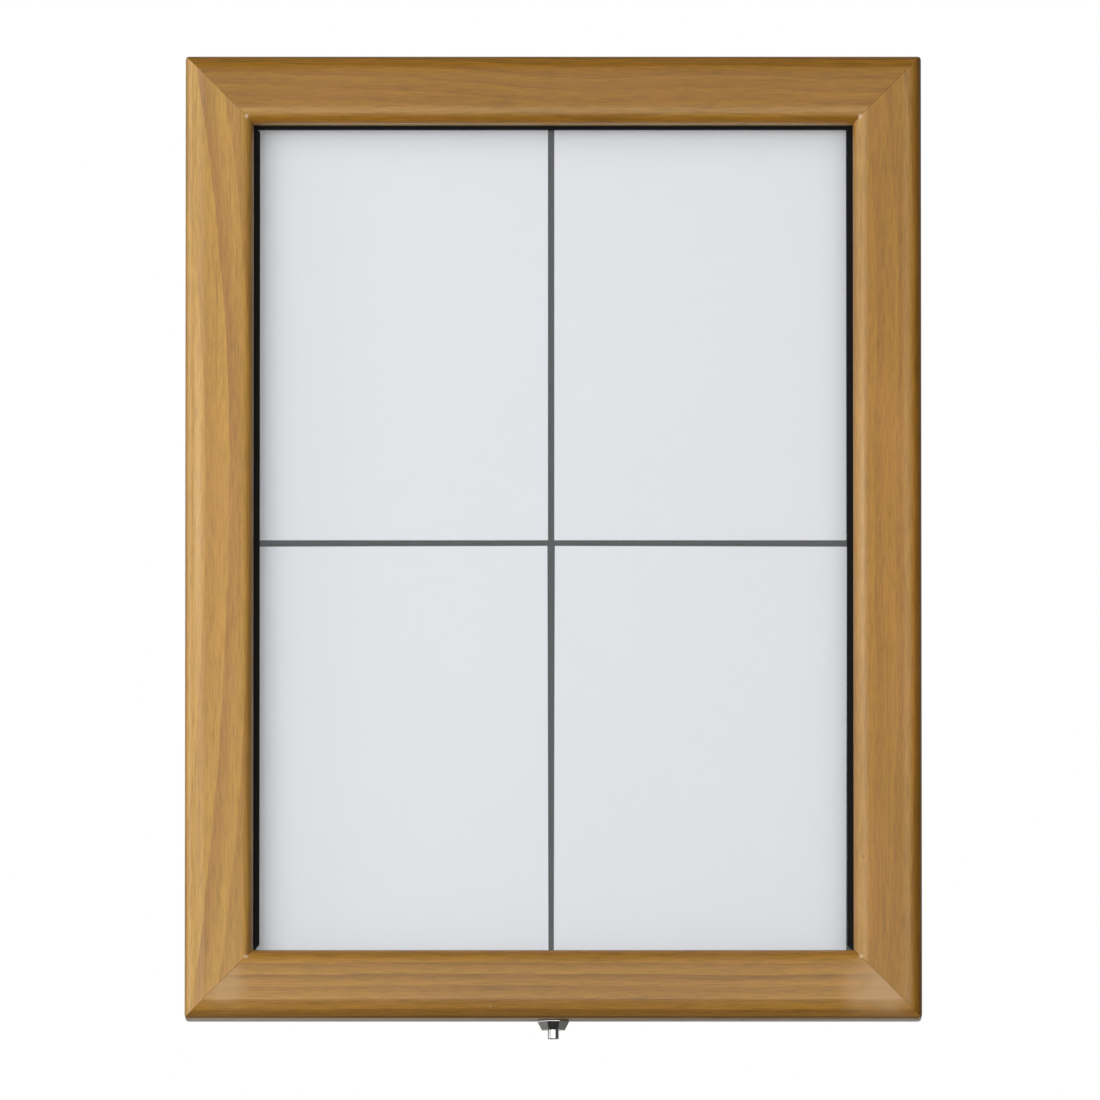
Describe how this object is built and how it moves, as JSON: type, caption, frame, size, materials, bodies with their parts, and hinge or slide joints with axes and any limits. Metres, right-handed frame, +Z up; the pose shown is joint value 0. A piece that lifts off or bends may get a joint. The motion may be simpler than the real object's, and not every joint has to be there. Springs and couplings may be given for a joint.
{
  "type": "information display case",
  "caption": "Wall-mounted lockable display case: mitred timber door with a clear pane over a shallow metal case that holds white paper sheets on a dark board.",
  "frame": {"origin": "on the wall plane, at the middle of the case's back plate", "axes": "+X to the viewer's right, -Y out of the wall towards the viewer, +Z up"},
  "size_m": [0.529, 0.044, 0.7074],
  "materials": {
    "stained_pine": "stained and satin lacquered",
    "beech": "bare, planed",
    "clear_pane": "clear, polished",
    "black_gasket": "matt",
    "black_seal": "matt",
    "white_paper": "uncoated",
    "dark_board": "matt",
    "zinc_sheet": "galvanised",
    "aluminium_strip": "mill finish",
    "rivet_aluminium": "plain",
    "plated_steel": "zinc plated",
    "screw_steel": "zinc plated",
    "chrome": "polished"
  },
  "bodies": {
    "case": {"case_back_plate": "zinc_sheet", "case_wall_top": "zinc_sheet", "case_wall_left": "zinc_sheet", "case_wall_right": "zinc_sheet", "case_wall_bottom_left": "zinc_sheet", "case_wall_bottom_right": "zinc_sheet", "rim_seal_top": "black_seal", "rim_seal_left": "black_seal", "rim_seal_right": "black_seal", "rim_seal_bottom_left": "black_seal", "rim_seal_bottom_right": "black_seal", "display_board": "dark_board", "paper_sheet_top_left": "white_paper", "paper_sheet_top_right": "white_paper", "paper_sheet_bottom_left": "white_paper", "paper_sheet_bottom_right": "white_paper", "hinge_case_leaf": "plated_steel", "hinge_pin": "plated_steel", "hinge_rivet_1": "rivet_aluminium", "hinge_rivet_2": "rivet_aluminium", "hinge_rivet_3": "rivet_aluminium", "hinge_rivet_4": "rivet_aluminium", "lock_keeper": "plated_steel", "keeper_rivet": "rivet_aluminium"},
    "door": {"door_stile_left": "stained_pine", "door_rail_top": "stained_pine", "door_stile_right": "stained_pine", "door_rail_bottom": "stained_pine", "mitre_spline_top_left": "beech", "mitre_spline_top_right": "beech", "mitre_spline_bottom_left": "beech", "mitre_spline_bottom_right": "beech", "glazing_pane": "clear_pane", "glazing_gasket_left": "black_gasket", "glazing_gasket_top": "black_gasket", "glazing_gasket_right": "black_gasket", "glazing_gasket_bottom": "black_gasket", "pane_retainer_left": "aluminium_strip", "pane_retainer_top": "aluminium_strip", "pane_retainer_right": "aluminium_strip", "pane_retainer_bottom": "aluminium_strip", "retainer_screw_left_1": "screw_steel", "retainer_screw_left_2": "screw_steel", "retainer_screw_top_1": "screw_steel", "retainer_screw_top_2": "screw_steel", "retainer_screw_right_1": "screw_steel", "retainer_screw_right_2": "screw_steel", "retainer_screw_bottom_1": "screw_steel", "retainer_screw_bottom_2": "screw_steel", "hinge_door_leaf": "plated_steel", "hinge_screw_1": "screw_steel", "hinge_screw_2": "screw_steel", "hinge_screw_3": "screw_steel", "hinge_screw_4": "screw_steel", "lock_body": "chrome", "lock_nut": "plated_steel"},
    "lock": {"lock_stem": "chrome", "lock_cam": "plated_steel", "lock_cam_screw": "screw_steel"}
  },
  "joints": [
    {"name": "door_hinge", "type": "hinge", "parent": "case", "child": "door", "pos_m": [0, -0.004, 0.3445], "axis": [-1, 0, 0], "range_deg": [0, 90]},
    {"name": "lock_turn", "type": "hinge", "parent": "door", "child": "lock", "pos_m": [0, -0.0125, -0.347], "axis": [0, 0, 1], "range_deg": [0, 90]}
  ]
}
